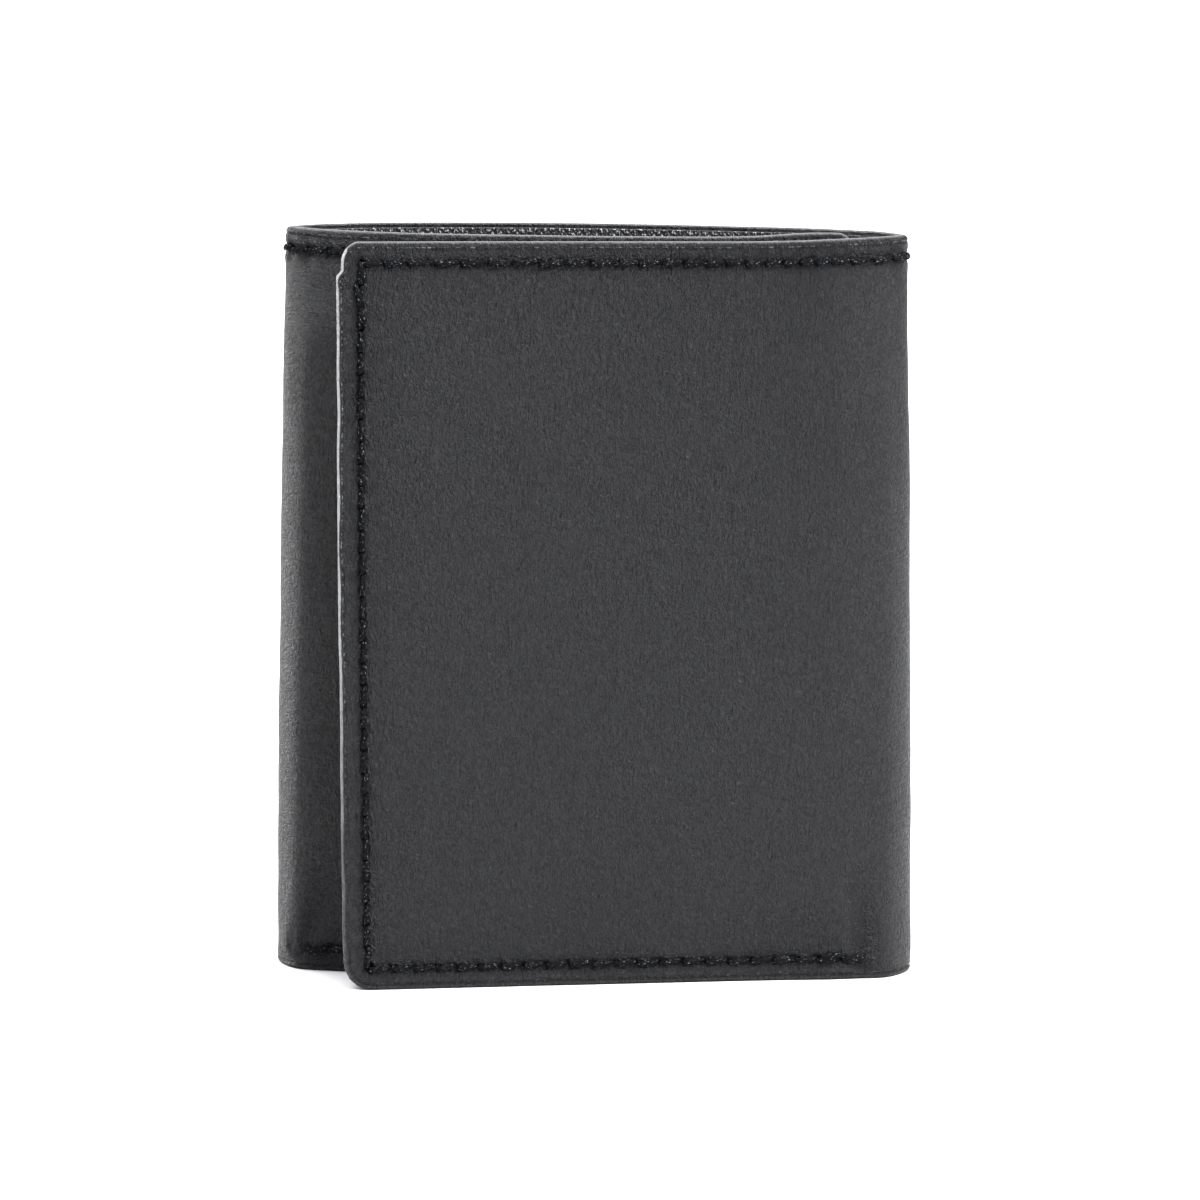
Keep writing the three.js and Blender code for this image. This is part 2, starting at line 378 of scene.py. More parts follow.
def leather_relief(s, z, edge):
    """Height of the outer face over the smooth strip."""
    calm = soft_step((edge - 0.6) / 3)
    total = seam_relief(s, z)
    total += 0.07 * waves(s, z, 24, 9, SEED) * calm
    total += 0.022 * waves(s, z, 6.5, 12, SEED + 1) * calm
    right, left = S_RIGHT + FOOT_STOP, S_LEFT - INNER_FOOT_STOP
    total += crease(s, z, (right - 0.9, 2.2), (right + 0.4, 19), 1.5, 0.62, -3.2)
    total += crease(s, z, (left + 0.9, 2.2), (left - 3.6, 17), 1.4, 0.6, -2.8)
    total += crease(s, z, (left + 2.6, 2.0), (left + 0.8, 13), 0.9, 0.25, 1.8)
    total += crease(s, z, (S_LEFT + FOOT_STOP - 0.9, 2.2), (S_LEFT + FOOT_STOP + 1, 16), 1.5, 0.5, 3)
    total += crease(s, z, (S_RIGHT - FOOT_STOP + 0.9, 2.2), (S_RIGHT - FOOT_STOP - 1, 16), 1.5, 0.5, -3)
    return total


def rolled_edge(edge):
    """Depth of the turned edge: a round roll, a fine crease at its foot, then the flat face."""
    x = np.clip(1 - edge / ROLL, 0, 1)
    roll = 0.45 * (1 - np.sqrt(np.clip(1 - x**2.0, 0, 1)))
    fold_line = 0.10 * np.exp(-(((edge - ROLL - 0.1) / 0.14) ** 2))
    lip = -0.04 * np.exp(-(((edge - ROLL + 0.25) / 0.2) ** 2))
    return roll + fold_line + lip


def uneven_cut(s, z):
    """The front flap's free end: cut back a little above a notch near its top."""
    near_end = soft_step((s - LENGTH + 4.5) / 3.5)
    back = 0.7 * soft_step((z - HEIGHT + 4.9) / 1.1)
    lip = 0.15 * np.exp(-(((z - HEIGHT + 5.5) / 0.7) ** 2))
    wander = 0.09 * waves(s * 0, z, 9, 5, SEED + 3)
    return near_end * (lip - back + wander)


# ---- materials -------------------------------------------------------------------------
class Nodes:
    """Short names for building a node tree."""

    def __init__(self, name):
        self.material = bpy.data.materials.new(name)
        self.material.use_nodes = True
        self.tree = self.material.node_tree
        self.shader = self.tree.nodes["Principled BSDF"]
        self.surface_uv = self.new("ShaderNodeUVMap", uv_map="UVMap").outputs[0]

    def new(self, kind, **settings):
        node = self.tree.nodes.new(kind)
        for key, value in settings.items():
            setattr(node, key, value)
        return node

    def link(self, a, b):
        self.tree.links.new(a, b)

    def coordinates(self, scale, turn=0.0):
        """UV places in millimetres, stretched by scale and turned."""
        node = self.new("ShaderNodeMapping")
        node.inputs["Scale"].default_value = [v / MM for v in scale]
        node.inputs["Rotation"].default_value = (0, 0, turn)
        self.link(self.surface_uv, node.inputs["Vector"])
        return node.outputs[0]

    def noise(self, at, scale, detail=3.0, rough=0.55, distort=0.0):
        node = self.new("ShaderNodeTexNoise")
        self.link(at, node.inputs["Vector"])
        for key, value in (("Scale", scale), ("Detail", detail), ("Roughness", rough),
                           ("Distortion", distort)):
            node.inputs[key].default_value = value
        return node.outputs["Fac"]

    def cells(self, at, scale):
        """Soft round cells: the distance from the middle of each."""
        node = self.new("ShaderNodeTexVoronoi", feature="SMOOTH_F1")
        self.link(at, node.inputs["Vector"])
        node.inputs["Scale"].default_value = scale
        return node.outputs["Distance"]

    def maths(self, operation, a, b=None, c=None):
        node = self.new("ShaderNodeMath", operation=operation)
        for socket, value in zip(node.inputs, (a, b, c)):
            if value is None:
                continue
            if isinstance(value, (int, float)):
                socket.default_value = value
            else:
                self.link(value, socket)
        return node.outputs[0]

    def remap(self, value, low, high, to_low=0.0, to_high=1.0):
        node = self.new("ShaderNodeMapRange", interpolation_type="SMOOTHSTEP")
        self.link(value, node.inputs["Value"])
        for key, number in (("From Min", low), ("From Max", high), ("To Min", to_low),
                            ("To Max", to_high)):
            node.inputs[key].default_value = number
        return node.outputs["Result"]

    def mix(self, factor, a, b):
        node = self.new("ShaderNodeMix", data_type="RGBA")
        for key, value in (("Factor", factor), ("A", a), ("B", b)):
            socket = [i for i in node.inputs if i.name == key and i.enabled][0]
            if isinstance(value, (tuple, float, int)):
                socket.default_value = value
            else:
                self.link(value, socket)
        return [o for o in node.outputs if o.enabled][0]

    def mix_value(self, factor, a, b):
        """a where factor is 0, the number b where it is 1."""
        return self.maths("MULTIPLY_ADD", self.maths("SUBTRACT", b, a), factor, a)

    def bump(self, height, distance):
        node = self.new("ShaderNodeBump")
        node.inputs["Distance"].default_value = distance * MM
        node.inputs["Strength"].default_value = 1.0
        self.link(height, node.inputs["Height"])
        return node.outputs[0]

    def set(self, **values):
        for key, value in values.items():
            socket = self.shader.inputs[key.replace("_", " ")]
            if isinstance(value, (int, float, tuple)):
                socket.default_value = value
            else:
                self.link(value, socket)
        return self.material


def fold_share(nodes):
    """1 near either fold's middle, 0 on the flat panels, from the distance along the strip."""
    split = nodes.new("ShaderNodeSeparateXYZ")
    nodes.link(nodes.surface_uv, split.inputs[0])
    near = None
    for place in (S_LEFT, S_RIGHT):
        away = nodes.maths("ABSOLUTE", nodes.maths("SUBTRACT", split.outputs["X"], place * MM))
        share = nodes.remap(away, 16 * MM, 5 * MM)
        near = share if near is None else nodes.maths("MAXIMUM", near, share)
    return near


def crease_lines(n, at, scale, width, distort=0.6):
    """Fine wavy valleys: 0 in the valley, 1 away from it."""
    field = n.noise(at, scale, 2.0, 0.5, distort)
    return n.remap(n.maths("ABSOLUTE", n.maths("SUBTRACT", field, 0.5)), 0.0, width)


def edge_line(n, colour, gloss):
    """The pale line where the edge dressing reaches round the edge, partly its own colour and partly
    painted light: paler towards the top and at the front flap's free end; and painted highlights in
    dashes along the crease inside it.
    """
    edge = n.new("ShaderNodeAttribute", attribute_name="edge").outputs["Fac"]
    split = n.new("ShaderNodeSeparateXYZ")
    n.link(n.surface_uv, split.inputs[0])
    at = n.coordinates((1, 1, 1))
    worn = n.noise(at, 0.8, 3, 0.6)
    # painted light from above: the line and its dashes are paler towards the top and fade towards the
    # foot
    high = n.remap(split.outputs["Y"], 4 * MM, 62 * MM, 0.06, 1.0)
    end = n.remap(split.outputs["X"], (LENGTH - 0.95) * MM, (LENGTH - 0.75) * MM)
    width = n.maths("MULTIPLY_ADD", end, 0.2, 0.16)
    width = n.maths("MULTIPLY_ADD", n.maths("SUBTRACT", worn, 0.5), 0.22, width)
    inside = n.maths("SUBTRACT", edge, width)
    line = n.maths("MULTIPLY", n.remap(inside, 0.07, -0.07), high)
    # pale grey along the top and the inner flap's edge, partly the dressing and partly painted light;
    # paler at the front flap's free end, a painted reflection on its rolled edge
    colour = n.mix(line, colour, n.mix(end, (0.12, 0.12, 0.12, 1), (0.5, 0.5, 0.5, 1)))
    # painted highlights: pale bluish dashes along the crease at the foot of the roll
    dash = n.remap(n.noise(n.coordinates((1.4, 1.4, 1)), 1.1, 3, 0.7), 0.5, 0.62)
    near = n.remap(n.maths("ABSOLUTE", n.maths("SUBTRACT", edge, ROLL - 0.05)), 0.13, 0.04)
    highlight_dashes = n.maths("MULTIPLY", n.maths("MULTIPLY", near, dash), 0.8)
    colour = n.mix(n.maths("MULTIPLY", highlight_dashes, high), colour, (0.20, 0.21, 0.24, 1))
    return colour, n.mix_value(line, gloss, 0.34)


def leather(name, dark, light, roughness, depth, cell=1.0, dressed_and_lit_edge=False):
    """Fine-grained coated leather: a net of wavy creases, small pebbles and drawn wrinkles."""
    n = Nodes(name)
    flat = n.coordinates((1, 1, 1))
    share = fold_share(n)
    flat_share = n.maths("SUBTRACT", 1.0, share)

    net = crease_lines(n, n.coordinates((1.3, 0.75, 1), 0.5), 1.25 / cell, 0.085)
    fine_net = crease_lines(n, n.coordinates((0.9, 1.25, 1), -0.35), 2.4 / cell, 0.1)
    upright = n.noise(n.coordinates((1.7, 0.6, 1), 0.3), 1.15 / cell, 3, 0.55, 0.8)
    level = n.noise(n.coordinates((0.5, 1.9, 1), -0.1), 1.25 / cell, 3, 0.55, 0.6)
    wrinkle = n.maths("MULTIPLY", upright, flat_share)
    wrinkle = n.maths("MULTIPLY_ADD", level, share, wrinkle)
    pebble = n.cells(flat, 2.3 / cell)
    patch = n.noise(flat, 0.09, 2)
    patchy = n.remap(patch, 0.3, 0.7, 0.6, 1.2)

    height = n.maths("MULTIPLY", net, 0.28)
    height = n.maths("MULTIPLY_ADD", fine_net, 0.2, height)
    height = n.maths("MULTIPLY_ADD", pebble, -0.4, height)
    height = n.maths("MULTIPLY", height, patchy)
    height = n.maths("MULTIPLY_ADD", wrinkle, 1.25, height)
    height = n.maths("MULTIPLY_ADD", n.noise(flat, 6.0, 2), 0.12, height)

    tone = n.maths("MULTIPLY", n.maths("ADD", net, wrinkle), 0.5)
    # colour darker in the grain's crease lines: partly the leather's own darker creases, partly painted
    # shade in them
    crease_tone_and_shade = n.maths("MULTIPLY_ADD", net, 0.6, n.maths("MULTIPLY", fine_net, 0.4))
    colour = n.mix(n.remap(n.maths("MULTIPLY_ADD", patch, 0.4, crease_tone_and_shade), 0.2, 1.2), dark, light)
    gloss = n.remap(tone, 0.3, 0.9, roughness + 0.06, roughness - 0.05)
    if dressed_and_lit_edge:
        colour, gloss = edge_line(n, colour, gloss)
    return n.set(Base_Color=colour, Roughness=gloss, Specular_IOR_Level=0.32,
                 Normal=n.bump(height, depth))


def edge_paint_and_top_light():
    """The slightly glossy dressing of the strip's edge, pale near the top and dark towards the foot: a
    gradient of painted light from above.
    """
    n = Nodes("edge_dressing_and_painted_light")
    at = n.coordinates((1, 1, 1))
    split = n.new("ShaderNodeSeparateXYZ")
    n.link(n.surface_uv, split.inputs[0])
    height = n.maths("MODULO", split.outputs["Y"], (HEIGHT + 10) * MM)
    # painted light from above: the edge is pale at the top and darkens towards the foot
    high = n.remap(height, 4 * MM, 62 * MM, 0.05, 1.0)
    speck = n.noise(at, 2.4, 4, 0.6)
    pale = n.mix(n.remap(speck, 0.3, 0.7), (0.10, 0.10, 0.10, 1), (0.26, 0.26, 0.26, 1))
    colour = n.mix(high, (0.02, 0.02, 0.02, 1), pale)
    return n.set(
        Base_Color=colour, Roughness=n.remap(speck, 0.3, 0.7, 0.45, 0.3),
        Normal=n.bump(speck, 0.05),
    )


def woven():
    """Black twill with painted glints: pale short dashes on its threads that stand in for the light
    they catch, fewer round the folds.
    """
    n = Nodes("woven_lining")
    at = n.coordinates((1, 1, 1))
    twill = n.new("ShaderNodeTexWave", wave_type="BANDS", bands_direction="DIAGONAL")
    weft = n.new("ShaderNodeTexWave", wave_type="BANDS", bands_direction="X")
    for node, scale in ((twill, 0.5), (weft, 0.8)):
        n.link(at, node.inputs["Vector"])
        node.inputs["Scale"].default_value = scale
        node.inputs["Distortion"].default_value = 0.8
    cloth = n.maths("MULTIPLY", twill.outputs["Fac"], weft.outputs["Fac"])
    # painted glints: pale short dashes on the twill's threads, standing in for light they catch
    spark = n.remap(n.noise(at, 2.6, 2, 0.6), 0.52, 0.6)
    painted_glint = n.maths("MULTIPLY", spark, n.remap(twill.outputs["Fac"], 0.12, 0.5))
    # calmer round the folds, where the lining stretches as the wallet opens
    calm = n.maths("MULTIPLY_ADD", fold_share(n), -0.85, 1.0)
    painted_glint = n.maths("MULTIPLY", painted_glint, calm)
    cloth = n.maths("MULTIPLY", cloth, calm)
    colour = n.mix(painted_glint, (0.008, 0.008, 0.009, 1), (0.4, 0.4, 0.41, 1))
    rough = n.remap(painted_glint, 0.0, 1.0, 0.6, 0.22)
    return n.set(Base_Color=colour, Roughness=rough, Normal=n.bump(cloth, 0.16),
                 Sheen_Weight=0.15, Sheen_Roughness=0.4)


def thread_material():
    """Black bonded thread: fibres wound round each ply, with painted glints, pale bluish specks on some
    fibres that stand in for the light they catch.
    """
    n = Nodes("thread")
    fibre = n.noise(n.coordinates((1.6, 5.5, 1), 0.8), 1.5, 3, 0.6)
    # painted glints: pale bluish specks on the fibres
    painted_glint = n.remap(n.noise(n.coordinates((1.5, 3.6, 1), 0.8), 1.7, 3, 0.6), 0.61, 0.69)
    colour = n.mix(painted_glint, (0.002, 0.002, 0.0025, 1), (0.26, 0.29, 0.34, 1))
    return n.set(Base_Color=colour, Roughness=n.remap(painted_glint, 0.0, 1.0, 0.62, 0.3),
                 Specular_IOR_Level=0.08, Normal=n.bump(fibre, 0.14))


def clear_film():
    n = Nodes("clear_film")
    at = n.coordinates((1, 1, 1))
    ripple = n.noise(at, 0.09, 2)
    scuff = n.noise(n.coordinates((0.3, 2.5, 1), 0.6), 1.5, 3)
    return n.set(Base_Color=(0.93, 0.95, 0.96, 1), Transmission_Weight=1.0, IOR=1.45,
                 Roughness=n.remap(scuff, 0.35, 0.75, 0.05, 0.18), Normal=n.bump(ripple, 0.6))


OUTER_LEATHER = leather(
    "outer_leather", (0.003, 0.003, 0.004, 1), (0.019, 0.019, 0.0215, 1), 0.37, 1.7, dressed_and_lit_edge=True
)
INNER_LEATHER = leather(
    "inner_leather", (0.014, 0.014, 0.016, 1), (0.028, 0.028, 0.032, 1), 0.5, 0.3, cell=0.8
)
EDGE = edge_paint_and_top_light()
CLOTH = woven()
BLACK_THREAD = thread_material()
FILM = clear_film()


def dress(piece, slot, *materials):
    for material in materials:
        piece.data.materials.append(material)
    return piece


# ---- panels: the strip's four pieces and the bodies at their ends ------------------------
PANELS = {
    # name: (s start, s end, body at its start, body at its end)
    "inner_flap": (FREE_INNER, S_LEFT, "inner_flap", "left_spine"),
    "back_left": (S_LEFT, S_BACK, "left_spine", "back_panel"),
    "back_right": (S_BACK, S_RIGHT, "back_panel", "right_spine"),
    "front_flap": (S_RIGHT, FREE_FRONT, "right_spine", "front_flap"),
}
BEND_REACH = 7.0              # from a spine's middle to the flat panel, along the strip


def bend(piece, panel):
    """Bakes the piece's transform into its mesh. The places of its panel's spine middle and flat panel
    are worked out but not used.
    """
    s0, s1, first, second = PANELS[panel]
    spine_first = "spine" in first
    spine_s = s0 if spine_first else s1
    flat_s = spine_s + BEND_REACH * (1 if spine_first else -1)
    spine_at = on_strip(spine_s, HEIGHT / 2, 0.0)
    flat_at = on_strip(flat_s, HEIGHT / 2, 0.0)
    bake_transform(piece)


def shell_depth(s, z):
    return np.zeros_like(s)


def make_shell():
    cad = {
        "inner_flap": ("inner_flap_shell",),
        "back_left": ("left_spine_shell",),
        "back_right": ("back_shell", "right_spine_shell"),
        "front_flap": ("front_flap_shell",),
    }
    free = {"inner_flap": (FREE_INNER,), "front_flap": (FREE_FRONT,)}
    for name, (s0, s1, *_) in PANELS.items():
        ends = free.get(name, ())
        piece = sheet(
            f"leather_{name}", s0, s1, 0, HEIGHT, shell_depth, SHELL, free=ends,
            spacing=0.55, relief=leather_relief, profile=rolled_edge,
            seams=[e for e in (s0, s1) if e not in ends],
            trim=uneven_cut if name == "front_flap" else None, top_radius=TOP_CORNER,
        )
        dress(piece, "outer_leather", OUTER_LEATHER, EDGE)
        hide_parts(*cad[name])
        bend(piece, name)


def make_lining():
    cad = {
        "inner_flap": ("inner_flap_lining",),
        "back_left": ("left_spine_lining",),
        "back_right": ("back_lining", "right_spine_lining"),
        "front_flap": ("front_flap_lining",),
    }
    margin = 0.6
    for name, (s0, s1, *_) in PANELS.items():
        free = ()
        if name == "inner_flap":
            s0 += margin
            free = (s0,)
        if name == "front_flap":
            s1 -= margin
            free = (s1,)
        piece = sheet(
            f"lining_{name}", s0, s1, margin, HEIGHT - margin,
            lambda s, z: np.full_like(s, SHELL + GAP / 2), LINING, free=free,
            spacing=1.2, radius=CORNER - margin, roll=0.08, rim_material=0,
            seams=[e for e in (s0, s1) if e not in free],
        )
        dress(piece, "woven_lining", CLOTH)
        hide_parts(*cad[name])
        bend(piece, name)


# ---- stitches ----------------------------------------------------------------------------
AROUND, ALONG = 12, 18        # faces round and along one stitch
SINK, RISE = 0.38, 0.46       # how deep a stitch's ends lie, and how far its middle rises
PLY_DEPTH, PLY_TURNS = 0.2, 1.6
INNER_THREAD = 0.3            # half the width of the thread inside


def stitch(centre, direction, depth, length=STITCH * 0.96, slant=0.2, width=THREAD, lift=0.0):
    """One twisted stitch, lying in the strip's (s, z, depth)."""
    v = np.linspace(0, 1, ALONG)[:, None]
    turn = np.linspace(0, 2 * math.pi, AROUND, endpoint=False)[None, :]
    rise = np.clip(np.sin(math.pi * v), 0, 1) ** 0.35
    taper = 0.62 + 0.38 * np.sin(math.pi * np.clip(v, 0, 1)) ** 0.5
    plies = 1 + PLY_DEPTH * np.cos(2 * (turn - 2 * math.pi * PLY_TURNS * v))
    radius = width * taper * plies
    along = (v - 0.5) * length + 0 * turn
    across = slant * np.sin(math.pi * (v - 0.5)) + radius * np.cos(turn)
    up = -SINK + RISE * rise + lift + 0.78 * radius * np.sin(turn)
    ds, dz = direction
    s = centre[0] + along * ds - across * dz
    z = centre[1] + along * dz + across * ds
    return s, z, depth - up


def build_stitches(name, places, side=1):
    """places: list of (centre, direction, depth, options). side -1 lies on an inside face."""
    verts, uvs, faces = [], [], []
    for k, (centre, direction, depth, options) in enumerate(places):
        s, z, d = stitch(centre, direction, 0.0, **options)
        d = depth + side * d
        base = k * (AROUND * ALONG + 2)
        ring = on_strip(s, z, d).reshape(-1, 3)
        ends = on_strip(s.mean(1)[[0, -1]], z.mean(1)[[0, -1]], d.mean(1)[[0, -1]])
        verts.append(np.concatenate([ring, ends]))
        v, turn = np.meshgrid(np.linspace(0, STITCH, ALONG), np.linspace(0, 2.2, AROUND),
                              indexing="ij")
        place_uv = np.stack([v + k * 5.3, turn + (k % 7) * 3.1], -1).reshape(-1, 2)
        uvs.append(np.concatenate([place_uv, place_uv[:1], place_uv[-1:]]) * MM)
        for i in range(ALONG - 1):
            for j in range(AROUND):
                a = base + i * AROUND + j
                b = base + i * AROUND + (j + 1) % AROUND
                quad = [a, b, b + AROUND, a + AROUND]
                faces.append(quad if side > 0 else quad[::-1])
        first, last = base + AROUND * ALONG, base + AROUND * ALONG + 1
        for j in range(AROUND):
            a, b = base + j, base + (j + 1) % AROUND
            c, d2 = a + AROUND * (ALONG - 1), b + AROUND * (ALONG - 1)
            tri1, tri2 = [first, b, a], [last, c, d2]
            faces.append(tri1 if side > 0 else tri1[::-1])
            faces.append(tri2 if side > 0 else tri2[::-1])
    piece = make_mesh(name, np.concatenate(verts), faces, np.concatenate(uvs))
    return dress(piece, "thread", BLACK_THREAD)


def row_places(row, jitter_seed, lean=0.2):
    """Where the stitches of one seam lie."""
    rng = np.random.default_rng(jitter_seed)
    (s0, z0), (s1, z1) = row
    length = math.hypot(s1 - s0, z1 - z0)
    direction = ((s1 - s0) / length, (z1 - z0) / length)
    count = max(1, round(length / STITCH))
    pitch = length / count
    places = []
    for k in range(count):
        a = (k + 0.5) * pitch
        across = rng.normal(0, 0.04)
        centre = (s0 + direction[0] * a - direction[1] * across,
                  z0 + direction[1] * a + direction[0] * across)
        options = {"length": pitch * rng.uniform(0.93, 0.99), "slant": lean * rng.uniform(0.6, 1.3),
                   "width": THREAD * rng.uniform(0.93, 1.06), "lift": rng.normal(0, 0.02)}
        places.append((centre, direction, 0.0, options))
    return places


def back_tack(row, at_end, count=2):
    """The seam sewn over itself at one end: a second run lying just beside the first."""
    (s0, z0), (s1, z1) = row
    length = math.hypot(s1 - s0, z1 - z0)
    direction = ((s1 - s0) / length, (z1 - z0) / length)
    places = []
    for k in range(count):
        a = length - (k + 0.4) * STITCH if at_end else (k + 0.4) * STITCH
        side = 0.34 if k % 2 else -0.3
        centre = (s0 + direction[0] * a - direction[1] * side,
                  z0 + direction[1] * a + direction[0] * side)
        places.append((centre, direction, 0.0, {"slant": -0.25, "lift": 0.12}))
    return places


def make_outer_seams():
    lean = {"top": -0.2, "front_foot": -0.2, "front_free": 0.12, "inner_free": 0.12,
            "inner_foot": -0.2, "back_foot": 0.2}
    places = []
    for k, (name, row) in enumerate(ROWS.items()):
        places += row_places(row, SEED + 10 + k, lean[name])
    places += back_tack(ROWS["front_free"], at_end=False, count=3)
    places += back_tack(ROWS["front_foot"], at_end=False)
    places += back_tack(ROWS["inner_foot"], at_end=True)
    places += back_tack(ROWS["back_foot"], at_end=False)
    places += back_tack(ROWS["back_foot"], at_end=True)
    cad = {
        "inner_flap": ("inner_flap_seam",),
        "back_left": ("left_spine_seam", "back_seam_bottom"),
        "back_right": ("back_seam_top", "right_spine_seam"),
        "front_flap": ("front_flap_seam",),
    }
    for name, (s0, s1, *_) in PANELS.items():
        own = [p for p in places if s0 <= p[0][0] < s1]
        piece = build_stitches(f"stitches_{name}", own)
        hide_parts(*cad[name])
        bend(piece, name)


# ---- inside: dividers, card slots and window ---------------------------------------------
SLOT_COUNT = 3
CARD_DEPTH = 54.0
SLOT_STEP = 7.0
SLOT_EDGE = 1.2               # from a flap's free edge to its card slots
SLOT_FOOT = 1.3
INNER_SEAM = 3.0              # from a flap's free edge to the seam inside it
INNER_SEAM_FOOT = 3.4
DIVIDER_EDGE = 0.7            # from the strip's edges to the dividers
DIVIDER_WIDTH = 71.0
INNER_ROLL = 0.16
LINING_FACE = SHELL + GAP / 2 + LINING


def mouth_relief(mouth, inward):
    """A pressed line that follows a slot's mouth, and its turned edge."""
    def relief(s, z, edge):
        to_mouth = (s - mouth) * inward
        line = 0.1 * np.exp(-(((to_mouth - 1.8) / 0.22) ** 2))
        turned = 0.06 * soft_step((2.2 - to_mouth) / 0.7)
        return turned - line
    return relief


def on_panel(name, body, s0, s1, z0, z1, depth, thick, material, slot, cad, free=(), relief=None,
             radius=1.2, spacing=1.0):
    """A flat piece that lies on one panel and moves with it. Its shown face looks inwards."""
    piece = sheet(
        name, s0, s1, z0, z1, lambda s, z: np.full_like(s, depth), thick, free=free,
        spacing=spacing, radius=radius, roll=INNER_ROLL, back_relief=relief, rim_material=0,
    )
    dress(piece, slot, material)
    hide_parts(cad)
    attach(piece, body)
    return piece


def make_flap_inside(flap, free_s, inward):
    """Divider and card slots of one flap. inward is the way along the strip from its free end."""
    def span(a, b):
        return (a, b) if a < b else (b, a)

    depth = LINING_FACE + GAP
    start, end = span(free_s + inward * DIVIDER_EDGE,
                      free_s + inward * (DIVIDER_EDGE + DIVIDER_WIDTH))
    on_panel(f"divider_{flap}", flap, start, end, DIVIDER_EDGE, WALL_TOP, depth, WALL,
             INNER_LEATHER, "inner_leather", f"{flap}_wall", free=(start, end))
    depth += WALL
    for k in range(SLOT_COUNT):
        reach = CARD_DEPTH + (SLOT_COUNT - 1 - k) * SLOT_STEP
        mouth = free_s + inward * (SLOT_EDGE + reach)
        start, end = span(free_s + inward * SLOT_EDGE, mouth)
        top = WALL_TOP - 1 - k
        depth += GAP
        on_panel(
            f"card_slot_{flap}_{k + 1}", flap, start, end, SLOT_FOOT, top, depth, SLOT, INNER_LEATHER,
            "inner_leather", f"{flap}_slot_{k + 1}", free=(start, end),
            relief=mouth_relief(mouth, -inward),
        )
        depth += SLOT
    seam_in = free_s + inward * INNER_SEAM
    mouth = free_s + inward * (SLOT_EDGE + CARD_DEPTH)
    top = WALL_TOP - SLOT_COUNT - 1.6
    runs = [((seam_in, top), (mouth - inward * 1.5, top)),
            ((seam_in, top), (seam_in, INNER_SEAM_FOOT)),
            ((seam_in, INNER_SEAM_FOOT), (mouth - inward * 1.5, INNER_SEAM_FOOT))]
    places = []
    for k, run in enumerate(runs):
        for centre, direction, _, options in row_places(run, SEED + 40 + k):
            options["width"] = INNER_THREAD
            places.append((centre, direction, depth, options))
    piece = build_stitches(f"slot_stitches_{flap}", places, side=-1)
    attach(piece, flap)


def centre_depth(s, z):
    """Depth of the centre divider: sewn to the back at its foot, standing off it above."""
    lift = soft_step((z - 2.5) / 11)
    from_left = soft_step((s - S_LEFT - 5) / 16)
    from_right = soft_step((S_RIGHT - 5 - s) / 16)
    return LINING_FACE + GAP + 2.3 * lift * from_left * from_right


def make_centre():
    """Note divider, clear film and window frame, on the inside of the back."""
    s0, s1 = S_LEFT + 9.5, S_RIGHT - 9.5
    divider = sheet("note_divider", s0, s1, DIVIDER_EDGE, WALL_TOP, centre_depth, WALL,
                    free=(s0, s1), spacing=1.0, radius=1.5, roll=INNER_ROLL, rim_material=0)
    dress(divider, "inner_leather", INNER_LEATHER)
    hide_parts("centre_wall")
    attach(divider, "back_panel")

    middle = (s0 + s1) / 2
    half, low, high, border = 31.0, 13.0, WALL_TOP - 2, 7.0

    def over(extra):
        return lambda s, z: centre_depth(s, z) + WALL + extra

    film = sheet("window_sheet", middle - half + 1, middle + half - 1, low + 1, high - 1,
                 over(0.06), 0.2, free=(middle - half + 1, middle + half - 1), spacing=2.0,
                 radius=1.5, roll=0.05, rim_material=0)
    dress(film, "clear_film", FILM)
    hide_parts("window_film")
    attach(film, "back_panel")
    make_window_frame(middle, half, low, high, border, over(0.34))


